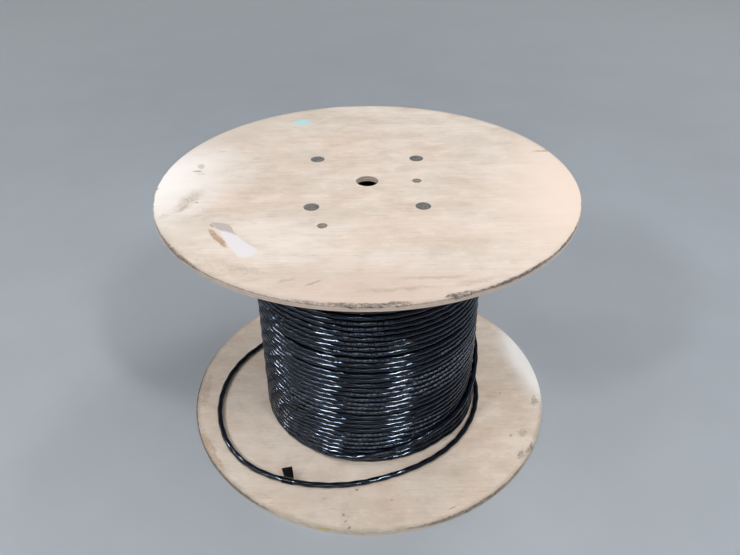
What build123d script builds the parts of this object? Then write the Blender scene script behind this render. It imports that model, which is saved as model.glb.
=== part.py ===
from build123d import *
import math
import os

# Wooden cable drum: two plywood flanges on a fibre tube, drawn together by four tie rods, with a
# round cable wound on the tube and the cable's outer end lying loose on the lower flange.
# Millimetres. The origin is the centre of the lower flange's underside and +Z is the drum's axis.

# Flanges
flange_diameter = 711.2
flange_thickness = 9.5
flange_spacing = 464.0
rim_break = 0.8
arbor_hole_diameter = 38.1
drive_hole_diameter = 16.0
drive_hole_radius = 85.0
start_hole_diameter = 16.0
start_hole_margin = 4.0
start_hole_angle = 115.0

# Core tube
core_diameter = 304.8
core_wall = 8.0
groove_depth = 3.2
groove_clearance = 0.3

# Tie rods and their sunk nuts
rod_count = 4
rod_first_angle = 45.0
rod_diameter = 9.5
rod_sunk = 0.9
thread_clearance = 0.05
nut_plate_diameter = 25.0
nut_plate_thickness = 1.6
nut_barrel_diameter = 12.0
nut_barrel_length = 6.4
nut_sunk = 0.6
nut_clearance = 0.2
nut_core_gap = 5.0

# Cable
cable_diameter = 10.4
cable_turns = 42
cable_layers = 6
winding_clearance = 0.3
lower_turns_swell = 3.0
turn_groove_depth = 3.0
pocket_length = 90.0
pocket_clearance = 0.3
tail_lift = 0.3

# Tape flag on the tail
tape_width = 19.0
tape_thickness = 0.5
tape_clearance = 0.12
flag_height = 22.0
flag_lean = 15.0
flag_run = 12

# Centre line of the cable's loose end, seen from above, from the winding to the cut end.
# It leaves the winding behind the drum, goes round the front and ends behind the drum.
tail_route = [
    (42.6, 200.2), (118.9, 184.0), (170.5, 140.5), (206.5, 83.5), (222.5, 19.5), (220.5, -45.0),
    (202.5, -105.5), (167.0, -161.5), (118.5, -205.0), (61.0, -235.5), (0.0, -256.0),
    (-54.5, -264.5), (-116.5, -261.0), (-178.0, -243.5), (-230.0, -213.5), (-271.0, -164.5),
    (-296.5, -101.0), (-304.5, -37.0), (-296.0, 26.5), (-273.0, 81.0), (-238.5, 125.5),
    (-196.5, 167.0), (-147.5, 203.0), (-93.0, 229.0), (-35.0, 243.0), (12.0, 248.0),
]

# Worked out from the sizes above
flange_radius = flange_diameter / 2
lower_face = flange_thickness
upper_face = flange_thickness + flange_spacing
drum_height = upper_face + flange_thickness
core_radius = core_diameter / 2
cable_radius = cable_diameter / 2
winding_bottom = lower_face + winding_clearance
winding_top = upper_face - winding_clearance
turn_pitch = (winding_top - winding_bottom - cable_diameter) / (cable_turns - 1)
layer_step = math.sqrt(cable_diameter**2 - (turn_pitch / 2) ** 2)
winding_radius = core_radius + cable_diameter + (cable_layers - 1) * layer_step
rod_circle_radius = core_radius - core_wall - nut_core_gap - nut_plate_diameter / 2
nut_pocket_depth = nut_sunk + nut_plate_thickness
start_hole_radius = core_radius + groove_clearance + start_hole_margin + start_hole_diameter / 2
tail_height = lower_face + tail_lift + cable_radius


def on_circle(radius, angle):
    """Place at a radius from the axis, with the angle in degrees from +X."""
    return radius * math.cos(math.radians(angle)), radius * math.sin(math.radians(angle))


def upright(diameter, bottom, top, place=(0, 0)):
    """Upright cylinder between two heights."""
    return Pos(place[0], place[1], bottom) * Cylinder(
        diameter / 2, top - bottom, align=(Align.CENTER, Align.CENTER, Align.MIN)
    )


def rod_places():
    """Places of the tie rods in the drum."""
    return [on_circle(rod_circle_radius, rod_first_angle + 360 / rod_count * i) for i in range(rod_count)]


def flange():
    """One plywood disc with its outer face down at zero and its inner face up."""
    disc = upright(flange_diameter, 0, flange_thickness)
    disc = chamfer(disc.edges(), rim_break)
    below, above = -1, flange_thickness + 1
    disc -= upright(arbor_hole_diameter, below, above)
    disc -= upright(drive_hole_diameter, below, above, (drive_hole_radius, 0))
    disc -= upright(start_hole_diameter, below, above, on_circle(start_hole_radius, start_hole_angle))
    for place in rod_places():
        disc -= upright(nut_barrel_diameter + 2 * nut_clearance, below, above, place)
        disc -= upright(nut_plate_diameter + 2 * nut_clearance, below, nut_pocket_depth, place)
    groove_floor = flange_thickness - groove_depth
    disc -= ring(
        core_radius + groove_clearance,
        core_radius - core_wall - groove_clearance,
        groove_floor,
        above,
    )
    return disc


def turned_over(solid):
    """The same piece turned over, from the drum's lower end to its upper end."""
    return Pos(0, 0, drum_height) * Rot(180, 0, 0) * solid


def ring(outer_radius, inner_radius, bottom, top):
    """Upright tube between two heights."""
    outer = upright(2 * outer_radius, bottom, top)
    return outer - upright(2 * inner_radius, bottom - 1, top + 1)


def core_tube():
    """Fibre tube, seated on the floors of the two grooves."""
    seat = flange_thickness - groove_depth
    return ring(core_radius, core_radius - core_wall, seat, drum_height - seat)


def tie_rod(place):
    """Threaded rod from nut to nut, as a plain round bar."""
    return upright(rod_diameter, rod_sunk, drum_height - rod_sunk, place)


def tee_nut(place):
    """Nut for the lower flange: a round plate that seats in the pocket, and a barrel above it."""
    seat = nut_pocket_depth
    plate = upright(nut_plate_diameter, nut_sunk, seat, place)
    barrel = upright(nut_barrel_diameter, seat, seat + nut_barrel_length, place)
    bore = upright(rod_diameter + 2 * thread_clearance, 0, seat + nut_barrel_length + 1, place)
    return plate + barrel - bore


def outer_radius_of_turn(index):
    """Outside radius of a turn, counted up from the lower flange, where the winding swells."""
    return winding_radius + lower_turns_swell * (1 - index / (cable_turns - 1))


def winding_section():
    """Half section of the winding: its bore, and one rounded ridge for each turn that shows."""
    first_layer = core_radius + cable_radius
    bore = core_radius + winding_clearance
    low, high = winding_bottom, winding_top
    top_turn = cable_turns - 1

    def end_ridges(face, inward):
        """Ridges of the inner layers on one end, and the place where they stop."""
        valley = face + inward * turn_groove_depth
        place = (first_layer - layer_step / 2, valley)
        arcs = [Line((bore, valley), place)]
        for layer in range(cable_layers - 1):
            middle = first_layer + layer * layer_step
            following = (middle + layer_step / 2, valley)
            arcs.append(ThreePointArc(place, (middle, face), following))
            place = following
        return arcs, place

    def corner_turn(index, face, inward, inner_end, valley):
        """Outermost layer's turn at one end, from the ridges beside it round to its outer groove."""
        outer = outer_radius_of_turn(index)
        lowest = (outer - cable_radius, face)
        slant = cable_radius * (1 - math.sqrt(0.5))
        crest = (outer, face + inward * cable_radius)
        return [
            TangentArc(lowest, inner_end, tangent=(-1, 0)),
            ThreePointArc(lowest, (outer - slant, face + inward * slant), crest),
            TangentArc(crest, valley, tangent=(0, inward)),
        ]

    def valley_above(index):
        """Bottom of the groove between a turn and the next one up."""
        height = low + cable_radius + (index + 0.5) * turn_pitch
        return outer_radius_of_turn(index) - turn_groove_depth, height

    low_arcs, low_end = end_ridges(low, 1)
    high_arcs, high_end = end_ridges(high, -1)
    lines = low_arcs + high_arcs
    lines += corner_turn(0, low, 1, low_end, valley_above(0))
    lines += corner_turn(top_turn, high, -1, high_end, valley_above(top_turn - 1))
    for index in range(1, top_turn):
        crest = (outer_radius_of_turn(index), low + cable_radius + index * turn_pitch)
        lines.append(ThreePointArc(valley_above(index - 1), crest, valley_above(index)))
    lines.append(Line((bore, high - turn_groove_depth), (bore, low + turn_groove_depth)))
    return Plane.XZ * make_face(Wire(lines))


def tail_start():
    """Plane where the tail leaves the winding, facing along the tail."""
    (x, y), (next_x, next_y) = tail_route[0], tail_route[1]
    along = Vector(next_x - x, next_y - y, 0)
    return Plane(origin=(x, y, tail_height), x_dir=Vector(0, 0, 1), z_dir=along)


def tail_pocket():
    """Space that the outermost end turn leaves empty where it becomes the tail."""
    outer = outer_radius_of_turn(0) + pocket_clearance
    inner = outer_radius_of_turn(0) - cable_diameter - pocket_clearance
    turn = ring(outer, inner, lower_face, tail_height + cable_radius + pocket_clearance)
    stretch = Box(*3 * [pocket_length], align=(Align.CENTER, Align.CENTER, Align.MIN))
    return turn & tail_start() * stretch


def cable_winding():
    """The wound cable as one turned solid, open where the tail leaves it."""
    return revolve(winding_section(), Axis.Z) - tail_pocket()


def tail_radii():
    """Radius of the arc at each corner of the tail's route."""
    places = [Vector(x, y, tail_height) for x, y in tail_route]
    radii = []
    for before, corner, after in zip(places, places[1:], places[2:]):
        run_in, run_out = corner - before, after - corner
        shorter = min(run_in.length, run_out.length)
        turn = math.radians(run_in.get_angle(run_out))
        radii.append(0.45 * shorter / math.tan(turn / 2))
    return radii


def cable_tail():
    """The cable's loose end as a plain round tube along its route."""
    places = [(x, y, tail_height) for x, y in tail_route]
    radii = tail_radii()
    path = FilletPolyline(*places, radius=radii)
    tube = sweep(tail_start() * Circle(cable_radius), path=path)
    share = tube.volume / (math.pi * cable_radius**2 * path.length)
    print("tail length", round(path.length), "radii", [round(r) for r in radii])
    print("tail volume against section times length", round(share, 4))
    return tube


def tape_flag():
    """Tape wrapped once round the tail, with its end standing up as a small leaning flag."""
    (x, y), (next_x, next_y) = tail_route[flag_run], tail_route[flag_run + 1]
    middle = Vector((x + next_x) / 2, (y + next_y) / 2, tail_height)
    along = Vector(next_x - x, next_y - y, 0)
    section = Plane(origin=middle, x_dir=Vector(0, 0, 1), z_dir=along)
    inner = cable_radius + tape_clearance
    outer = inner + tape_thickness
    sleeve = Cylinder(outer, tape_width)
    flag = Pos(outer - tape_thickness, 0, 0) * Box(
        flag_height + tape_thickness,
        tape_thickness,
        tape_width,
        align=(Align.MIN, Align.CENTER, Align.CENTER),
    )
    wrapped = sleeve + Rot(0, 0, flag_lean) * flag - Cylinder(inner, tape_width + 1)
    above_flange = Pos(middle.X, middle.Y, lower_face) * Box(
        4 * flag_height, 4 * flag_height, 4 * flag_height, align=(Align.CENTER, Align.CENTER, Align.MIN)
    )
    return section * wrapped & above_flange


def pieces():
    """Every piece of the drum under its name."""
    named = {
        "flange_bottom": flange(),
        "flange_top": turned_over(flange()),
        "core_tube": core_tube(),
        "cable_winding": cable_winding(),
        "cable_tail": cable_tail(),
        "tape_flag": tape_flag(),
    }
    for number, place in enumerate(rod_places(), start=1):
        mirrored = (place[0], -place[1])
        named[f"tie_rod_{number}"] = tie_rod(place)
        named[f"tee_nut_bottom_{number}"] = tee_nut(place)
        named[f"tee_nut_top_{number}"] = turned_over(tee_nut(mirrored))
    return named


os.makedirs("parts", exist_ok=True)
for name, solid in pieces().items():
    export_step(solid, f"parts/{name}.step")
print("winding radius", round(winding_radius, 2), "pitch", round(turn_pitch, 3), "layer", round(layer_step, 3))
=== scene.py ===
"""Looks of a plywood cable drum that is wound with glossy black three-conductor cable.

The drum's construction comes in as a fixed frame. This script dresses the flanges, lays every visible
turn of the cable, the cable's loose end, its tape flag and a torn label, and sets up a plain studio.
Lengths are metres in the frame's own axes: +Z is the drum's axis and -Y points at the viewer.
"""
import logging
import math
from dataclasses import dataclass
from enum import Enum
from itertools import product
from typing import Any, Dict, List, Optional, Sequence, Tuple, Union

import bmesh
import bpy
from mathutils import Matrix, Vector, noise


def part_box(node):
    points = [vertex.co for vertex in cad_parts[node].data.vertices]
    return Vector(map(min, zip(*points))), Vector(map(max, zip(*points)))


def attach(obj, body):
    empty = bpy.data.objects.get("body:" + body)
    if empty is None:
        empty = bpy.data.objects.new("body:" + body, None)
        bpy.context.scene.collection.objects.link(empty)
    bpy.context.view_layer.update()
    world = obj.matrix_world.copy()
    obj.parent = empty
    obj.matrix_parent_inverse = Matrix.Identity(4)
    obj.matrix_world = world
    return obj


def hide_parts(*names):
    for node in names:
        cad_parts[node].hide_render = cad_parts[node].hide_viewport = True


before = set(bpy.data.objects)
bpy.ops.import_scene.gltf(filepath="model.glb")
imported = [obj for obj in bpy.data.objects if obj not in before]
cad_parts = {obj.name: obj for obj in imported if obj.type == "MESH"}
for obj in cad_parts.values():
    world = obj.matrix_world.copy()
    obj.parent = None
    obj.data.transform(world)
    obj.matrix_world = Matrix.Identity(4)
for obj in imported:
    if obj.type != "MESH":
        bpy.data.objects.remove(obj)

LOG = logging.getLogger("cable_drum")
MM = 0.001
BODY = "root"

Colour = Tuple[float, float, float, float]
Point = Tuple[float, float, float]
Point2 = Tuple[float, float]
Socket = bpy.types.NodeSocket
Material = bpy.types.Material
Piece = bpy.types.Object
Source = Union[Socket, float, Sequence[float]]

WHITE: Colour = (1.0, 1.0, 1.0, 1.0)


class Slot(Enum):
    """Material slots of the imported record."""

    PLYWOOD = "plywood"
    FIBRE = "fibre_board"
    JACKET = "cable_jacket"
    TAPE = "black_tape"
    STEEL = "zinc_steel"


def paint(code: str) -> Colour:
    """Turn a screen colour into the linear colour that shaders take.

    Args:
        code: Six hexadecimal digits.

    Returns:
        Linear red, green, blue and an alpha of one.
    """
    parts = [int(code[i:i + 2], 16) / 255 for i in (0, 2, 4)]
    linear = [p / 12.92 if p <= 0.04045 else ((p + 0.055) / 1.055) ** 2.4 for p in parts]
    return linear[0], linear[1], linear[2], 1.0


def around_axis(radius: float, azimuth: float, height: float) -> Vector:
    """Give the point at a radius and an azimuth in degrees from +X, at a height."""
    angle = math.radians(azimuth)
    return Vector((radius * math.cos(angle), radius * math.sin(angle), height))


class NodeSheet:
    """Node tree that short calls fill and wire, for shaders and for geometry."""

    def __init__(self, tree: bpy.types.NodeTree) -> None:
        """Keep the tree that the calls fill."""
        self.tree = tree

    def feed(self, socket: Socket, value: Source) -> None:
        """Give a socket its value or its link.

        Args:
            socket: Input socket.
            value: Output socket to link, or a plain value.
        """
        if isinstance(value, Socket):
            self.tree.links.new(value, socket)
        else:
            socket.default_value = value

    def add(self, kind: str, inputs: Optional[Dict[Any, Source]] = None, **settings: Any) -> bpy.types.Node:
        """Add one node.

        Args:
            kind: Blender's name of the node type.
            inputs: Values or links by socket name or number.
            settings: Properties of the node.

        Returns:
            The node.
        """
        node = self.tree.nodes.new(kind)
        for key, value in settings.items():
            setattr(node, key, value)
        for key, value in (inputs or {}).items():
            self.feed(node.inputs[key], value)
        return node

    def math(self, operation: str, first: Source, second: Source = 0.0, third: Source = 0.0) -> Socket:
        """Work out one sum on numbers and return its socket."""
        node = self.add("ShaderNodeMath", {0: first, 1: second, 2: third}, operation=operation)
        return node.outputs[0]

    def times(self, first: Source, *others: Source) -> Socket:
        """Multiply numbers and return the socket of the product."""
        for other in others:
            first = self.math("MULTIPLY", first, other)
        return first

    def plus(self, first: Source, *others: Source) -> Socket:
        """Add up numbers and return the socket of the sum."""
        for other in others:
            first = self.math("ADD", first, other)
        return first

    def minus(self, first: Source, second: Source) -> Socket:
        """Subtract the second number from the first and return the socket."""
        return self.math("SUBTRACT", first, second)

    def apart(self, first: Source, second: Source) -> Socket:
        """Return the socket of how far two numbers are apart."""
        return self.math("ABSOLUTE", self.minus(first, second))

    def divided(self, first: Source, second: Source) -> Socket:
        """Divide the first number by the second and return the socket."""
        return self.math("DIVIDE", first, second)

    def vector_math(self, operation: str, first: Source, second: Source = (0, 0, 0)) -> Socket:
        """Work out one sum on vectors and return its socket."""
        node = self.add("ShaderNodeVectorMath", {0: first, 1: second}, operation=operation)
        return node.outputs["Value" if operation in ("LENGTH", "DOT_PRODUCT") else "Vector"]

    def scaled(self, vector: Source, factor: Source) -> Socket:
        """Multiply a vector by a number and return its socket."""
        node = self.add("ShaderNodeVectorMath", {0: vector, "Scale": factor}, operation="SCALE")
        return node.outputs["Vector"]

    def combined(self, x: Source, y: Source, z: Source) -> Socket:
        """Make a vector of three numbers and return its socket."""
        return self.add("ShaderNodeCombineXYZ", {0: x, 1: y, 2: z}).outputs[0]

    def parts(self, vector: Source) -> Tuple[Socket, ...]:
        """Split a vector and return the sockets of its three numbers."""
        return tuple(self.add("ShaderNodeSeparateXYZ", {0: vector}).outputs)

    def eased(self, value: Source, low: Source, high: Source, to_low: float = 0.0,
              to_high: float = 1.0) -> Socket:
        """Map a value smoothly from one range to another and return its socket."""
        node = self.add(
            "ShaderNodeMapRange",
            {"Value": value, "From Min": low, "From Max": high, "To Min": to_low, "To Max": to_high},
            interpolation_type="SMOOTHSTEP",
        )
        return node.outputs[0]

    def cloud(self, vector: Source, scale: float, detail: float = 2.0, rough: float = 0.5,
              twist: float = 0.0) -> Socket:
        """Make noise about one half and return its socket."""
        node = self.add(
            "ShaderNodeTexNoise",
            {"Vector": vector, "Scale": scale, "Detail": detail, "Roughness": rough, "Distortion": twist},
        )
        return node.outputs[0]


class ShaderSheet(NodeSheet):
    """Node tree of one material, with its surface shader."""

    def __init__(self, name: str, **surface: Any) -> None:
        """Start a material.

        Args:
            name: Name of the material.
            surface: Values that are the same all over, by the shader's socket names with _ for a space.
        """
        self.material = bpy.data.materials.new(name)
        self.material.use_nodes = True
        super().__init__(self.material.node_tree)
        self.tree.nodes.clear()
        self.shader = self.add("ShaderNodeBsdfPrincipled")
        for key, value in surface.items():
            self.shader.inputs[key.replace("_", " ")].default_value = value
        self.add("ShaderNodeOutputMaterial", {"Surface": self.shader.outputs[0]})
        place = self.add("ShaderNodeTexCoord")
        self.place = place.outputs["Object"]
        self.facing = place.outputs["Normal"]

    def stretched(self, scale: Point, turn: float = 0.0) -> Socket:
        """Return the place on the object, stretched and turned about the upright axis."""
        rotation = (0, 0, math.radians(turn))
        node = self.add("ShaderNodeMapping", {"Vector": self.place, "Rotation": rotation, "Scale": scale})
        return node.outputs[0]

    def blended(self, factor: Source, first: Source, second: Source, kind: str = "MIX") -> Socket:
        """Mix two colours and return the socket of the result."""
        inputs = {0: factor, 6: first, 7: second}
        return self.add("ShaderNodeMix", inputs, data_type="RGBA", blend_type=kind).outputs[2]

    def between(self, factor: Source, first: Source, second: Source) -> Socket:
        """Mix two numbers and return the socket of the result."""
        return self.add("ShaderNodeMix", {0: factor, 2: first, 3: second}, data_type="FLOAT").outputs[0]

    def shades(self, value: Source, stops: Sequence[Tuple[float, Colour]]) -> Socket:
        """Turn a number into a colour by stops and return its socket."""
        node = self.add("ShaderNodeValToRGB", {0: value})
        ramp = node.color_ramp.elements
        while len(ramp) < len(stops):
            ramp.new(0.5)
        for element, (position, colour) in zip(ramp, stops):
            element.position = position
            element.color = colour
        return node.outputs[0]

    def from_axis(self, place: Socket) -> Socket:
        """Return the socket of a place's distance from the drum's axis."""
        x, y, _ = self.parts(place)
        return self.vector_math("LENGTH", self.combined(x, y, 0.0))

    def attribute(self, name: str, vector: bool = False) -> Socket:
        """Read an attribute of the mesh and return its socket."""
        node = self.add("ShaderNodeAttribute", attribute_name=name)
        return node.outputs["Vector" if vector else "Fac"]

    def finish(self, colour: Source, roughness: Source, height: Source, depth: float) -> Material:
        """Wire the surface and return the material.

        Args:
            colour: Base colour.
            roughness: Roughness.
            height: Relief, from 0 to 1.
            depth: Real depth of the relief.

        Returns:
            The material.
        """
        bump = self.add("ShaderNodeBump", {"Height": height, "Distance": depth, "Strength": 1.0})
        self.feed(self.shader.inputs["Base Color"], colour)
        self.feed(self.shader.inputs["Roughness"], roughness)
        self.feed(self.shader.inputs["Normal"], bump.outputs[0])
        return self.material


class MarkAndPaintedLight:
    """What all marks on a flange share: how they cover the wood. Some of them are broad patches of painted
    light and painted shade.

    strength is how much of the wood a mark hides, ragged how uneven its outline is, and worn how much fine
    noise breaks it up. edge is where it begins to fade, as a share of its size, and drop how far it reaches
    down the rim.
    """

    colour: Colour
    strength: float
    ragged: float
    worn: float
    edge: float
    drop: float

    def reach(self, sheet: ShaderSheet, place: Socket, level: float) -> Socket:
        """Return the socket of the distance from the mark's middle, which is 1 at its outline."""
        raise NotImplementedError

    def cover(self, sheet: ShaderSheet, ragged_place: Socket, grit: Socket, under: Source,
              level: float) -> Socket:
        """Lay the mark over a colour.

        Args:
            sheet: Material that gets the mark.
            ragged_place: Place on the object with noise in it.
            grit: Fine noise from 0 to 1 that breaks up worn marks.
            under: Colour beneath the mark.
            level: Height of the face that it lies on.

        Returns:
            Socket of the colour with the mark on it.
        """
        inputs = {0: self.ragged, 4: sheet.place, 5: ragged_place}
        mixed = sheet.add("ShaderNodeMix", inputs, data_type="VECTOR").outputs[1]
        cover = sheet.eased(self.reach(sheet, mixed, level), 1.0, self.edge, 0.0, self.strength)
        if self.worn:
            kept = sheet.math("MULTIPLY_ADD", grit, self.worn, 1.0 - self.worn)
            cover = sheet.times(cover, kept)
        return sheet.blended(cover, under, self.colour)


@dataclass(frozen=True)
class Mark(MarkAndPaintedLight):
    """Knot, scrape, stain and smudge on a flange's face, and broad patches of painted light and painted
    shade, each as a soft ellipse.

    place is its middle, half_size half its length and half its width, and turn the direction of its length,
    in degrees from +X.
    """

    place: Point2
    half_size: Point2
    turn: float
    colour: Colour
    strength: float
    ragged: float = 0.5
    worn: float = 0.0
    edge: float = 0.35
    drop: float = 1.0

    def reach(self, sheet: ShaderSheet, place: Socket, level: float) -> Socket:
        """Return the socket of the distance from the mark's middle, which is 1 at its outline."""
        inputs = {
            "Vector": place, "Location": (*self.place, level), "Rotation": (0, 0, math.radians(self.turn)),
            "Scale": (*self.half_size, self.drop),
        }
        local = sheet.add("ShaderNodeMapping", inputs, vector_type="TEXTURE")
        return sheet.vector_math("LENGTH", local.outputs[0])


@dataclass(frozen=True)
class RimMark(MarkAndPaintedLight):
    """Scuff or stain that follows a flange's rim.

    radius and azimuth give its middle, in degrees from +X. Its half_length follows the rim, and its
    half_width points at the axis.
    """

    radius: float
    azimuth: float
    half_length: float
    half_width: float
    colour: Colour
    strength: float
    ragged: float = 0.6
    drop: float = 1.0
    worn: float = 0.8
    edge: float = 0.6

    def reach(self, sheet: ShaderSheet, place: Socket, level: float) -> Socket:
        """Return the socket of the distance from the mark's middle, which is 1 at its outline."""
        from_axis = sheet.from_axis(place)
        middle = tuple(around_axis(1.0, self.azimuth, 0.0))
        cosine = sheet.divided(sheet.vector_math("DOT_PRODUCT", place, middle), from_axis)
        along = sheet.times(sheet.math("ARCCOSINE", cosine), self.radius / self.half_length)
        across = sheet.divided(sheet.minus(from_axis, self.radius), self.half_width)
        down = sheet.divided(sheet.minus(sheet.parts(place)[2], level), self.drop)
        return sheet.vector_math("LENGTH", sheet.combined(along, across, down))


@dataclass(frozen=True)
class Tint:
    """Colour that a cloudy pattern lays over a surface.

    The tint begins at the first value of fades and is full at the second. turn is in degrees.
    """

    colour: Colour
    strength: float
    fades: Point2
    scale: float
    detail: float = 3.0
    rough: float = 0.6
    twist: float = 0.0
    stretch: Point = (1.0, 1.0, 1.0)
    turn: float = 0.0

    def pattern(self, sheet: ShaderSheet) -> Socket:
        """Return the socket of the noise."""
        place = sheet.stretched(self.stretch, self.turn)
        return sheet.cloud(place, self.scale, self.detail, self.rough, self.twist)

    def cover(self, sheet: ShaderSheet) -> Socket:
        """Return the socket of how much the tint covers."""
        return sheet.eased(self.pattern(sheet), *self.fades, 0.0, self.strength)

    def over(self, sheet: ShaderSheet, under: Source) -> Socket:
        """Lay the tint over a colour and return the socket of the result."""
        return sheet.blended(self.cover(sheet), under, self.colour)


GREY_DIRT = paint("3f3b37")
HANDLING_DIRT = paint("8b7b69")
KNOT_BROWN = paint("7a5a41")
CRACK_BROWN = paint("3d2d20")
OLD_STAIN = paint("b3926c")
# Near-white colour of a broad patch of painted light on the upper flange's face.
PAINTED_LIGHT_WOOD = paint("f9f2ec")


@dataclass(frozen=True)
class Plywood:
    """Thin pale plywood: smooth rotary-cut faces and a dirty edge that shows its plies."""

    name: str
    pale: Colour
    deep: Colour
    bottom: float
    thickness: float
    radius: float
    marks: Tuple[MarkAndPaintedLight, ...]
    rim_dirt: float = 0.35
    ply_dark: Colour = paint("b3a293")
    ply_pale: Colour = paint("cfc1b3")
    plies: int = 5
    relief: float = 0.22 * MM
    ragged: float = 20.0 * MM
    tints: Tuple[Tint, ...] = (
        Tint(paint("d9bca6"), 0.40, (0.42, 0.70), 7.0),
        Tint(paint("bfa997"), 0.30, (0.50, 0.66), 21.0, 5.0, 0.68, stretch=(1.0, 1.7, 1.0), turn=-12.0),
        Tint(paint("efe3d6"), 0.35, (0.48, 0.36), 21.0, 5.0, 0.68, stretch=(1.0, 1.7, 1.0), turn=-12.0),
    )
    flecks: Tint = Tint(paint("a58a6d"), 0.50, (0.31, 0.22), 1.0, 1.0, 0.5, stretch=(38.0, 520.0, 38.0))
    rubbed: Tint = Tint(paint("94887b"), 0.42, (0.56, 0.80), 2.0, 5.0, 0.7, 0.4, (2.2, 7.0, 2.2), -24.0)
    streaks: Tint = Tint(paint("a08e7b"), 0.40, (0.42, 0.66), 1.0, 3.0, 0.7, stretch=(60.0, 60.0, 1400.0))
    soot: Tint = Tint(paint("80746a"), 0.60, (0.50, 0.74), 17.0, 5.0, 0.7)

    def face(self, sheet: ShaderSheet, fibres: Socket) -> Tuple[Socket, Socket]:
        """Make the rotary-cut face.

        Args:
            sheet: Material of the flange.
            fibres: Noise of the fine fibres.

        Returns:
            Sockets of the face's colour and relief.
        """
        figure = sheet.cloud(sheet.stretched((1.0, 14.0, 1.0)), 3.2, 3.0, 0.55, 0.6)
        rings = sheet.eased(sheet.math("PINGPONG", sheet.times(figure, 9.0), 1.0), 0.0, 0.85)
        blotch = Tint(self.deep, 1.0, (0.30, 0.72), 4.5, 4.0, stretch=(1.0, 2.6, 1.0), turn=6.0)
        colour: Source = self.pale
        for tint in (blotch, *self.tints):
            colour = tint.over(sheet, colour)
        ring_tone = sheet.blended(0.08, WHITE, self.deep)
        colour = sheet.blended(sheet.times(rings, 0.5), colour, ring_tone, "MULTIPLY")
        fibre_tone = sheet.shades(fibres, ((0.28, paint("cdbba7")), (0.52, WHITE)))
        colour = sheet.blended(0.22, colour, fibre_tone, "MULTIPLY")
        flecks = self.flecks.cover(sheet)
        colour = sheet.blended(flecks, colour, self.flecks.colour)
        colour = self.rubbed.over(sheet, colour)
        raised = sheet.plus(sheet.times(fibres, 0.6), sheet.times(rings, 0.15))
        return self.worn_edge(sheet, colour), sheet.minus(raised, sheet.times(flecks, 0.5))

    def worn_edge(self, sheet: ShaderSheet, colour: Socket) -> Socket:
        """Darken a face towards the rim and return the socket of its colour."""
        uneven = sheet.times(sheet.cloud(sheet.place, 26.0, 4.0, 0.65), 14 * MM)
        reach = sheet.plus(sheet.from_axis(sheet.place), uneven)
        dirt = sheet.eased(reach, self.radius - 4 * MM, self.radius + 8 * MM, 0.0, self.rim_dirt)
        return sheet.blended(dirt, colour, HANDLING_DIRT)

    def rim(self, sheet: ShaderSheet) -> Tuple[Socket, Socket]:
        """Make the sawn rim with its plies and return the sockets of its colour and relief."""
        level = sheet.minus(sheet.parts(sheet.place)[2], self.bottom)
        ply_line = sheet.divided(level, self.thickness / self.plies)
        ply_line = sheet.plus(ply_line, sheet.times(sheet.cloud(sheet.place, 60.0), 0.35))
        ply = sheet.math("PINGPONG", ply_line, 1.0)
        rim = sheet.blended(sheet.eased(ply, 0.30, 0.75), self.ply_dark, self.ply_pale)
        rim = self.soot.over(sheet, self.streaks.over(sheet, rim))
        return rim, sheet.plus(ply, sheet.times(self.streaks.pattern(sheet), 1.4))

    def marked(self, sheet: ShaderSheet, colour: Socket) -> Socket:
        """Lay the marks over the wood, one after the other, and return the socket of the colour."""
        wobble = sheet.add("ShaderNodeTexNoise", {"Vector": sheet.place, "Scale": 60.0, "Detail": 4.0})
        wobble = sheet.vector_math("SUBTRACT", wobble.outputs["Color"], (0.5, 0.5, 0.5))
        ragged_place = sheet.vector_math("ADD", sheet.place, sheet.scaled(wobble, self.ragged))
        grit = sheet.eased(sheet.cloud(sheet.place, 190.0, 5.0, 0.75), 0.34, 0.62)
        for mark in self.marks:
            colour = mark.cover(sheet, ragged_place, grit, colour, self.bottom + self.thickness)
        return colour

    def material(self) -> Material:
        """Build the material."""
        sheet = ShaderSheet(self.name, Specular_IOR_Level=0.35)
        fibres = sheet.cloud(sheet.stretched((9.0, 420.0, 9.0)), 1.0, 3.0, 0.65)
        face, face_height = self.face(sheet, fibres)
        rim, rim_height = self.rim(sheet)
        upright = sheet.parts(sheet.facing)[2]
        on_face = sheet.eased(sheet.math("ABSOLUTE", upright), 0.45, 0.85)
        bare = sheet.blended(on_face, rim, face)
        above = sheet.eased(upright, -0.6, -0.3)
        colour = sheet.blended(above, bare, self.marked(sheet, bare))
        height = sheet.between(on_face, rim_height, face_height)
        return sheet.finish(colour, sheet.eased(fibres, 0.2, 0.8, 0.62, 0.50), height, self.relief)


@dataclass(frozen=True)
class DashGroup:
    """Patch of the winding where rows of short plain dashes face outwards, or where the jacket is dull."""

    azimuth: float
    half_azimuth: float
    height: float
    half_height: float
    strength: float

    def reach(self, sheet: ShaderSheet, angle: Socket, level: Socket) -> Socket:
        """Return the socket of how strongly the group shows.

        Args:
            sheet: Material of the jacket.
            angle: Angle round the drum's axis, in radians.
            level: Height above the floor.
        """
        beside = sheet.apart(angle, math.radians(self.azimuth))
        half = math.radians(self.half_azimuth)
        above = sheet.apart(level, self.height)
        in_height = sheet.eased(above, self.half_height + 3 * MM, self.half_height)
        return sheet.times(sheet.eased(beside, half * 1.25, half * 0.85), in_height, self.strength)


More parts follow.
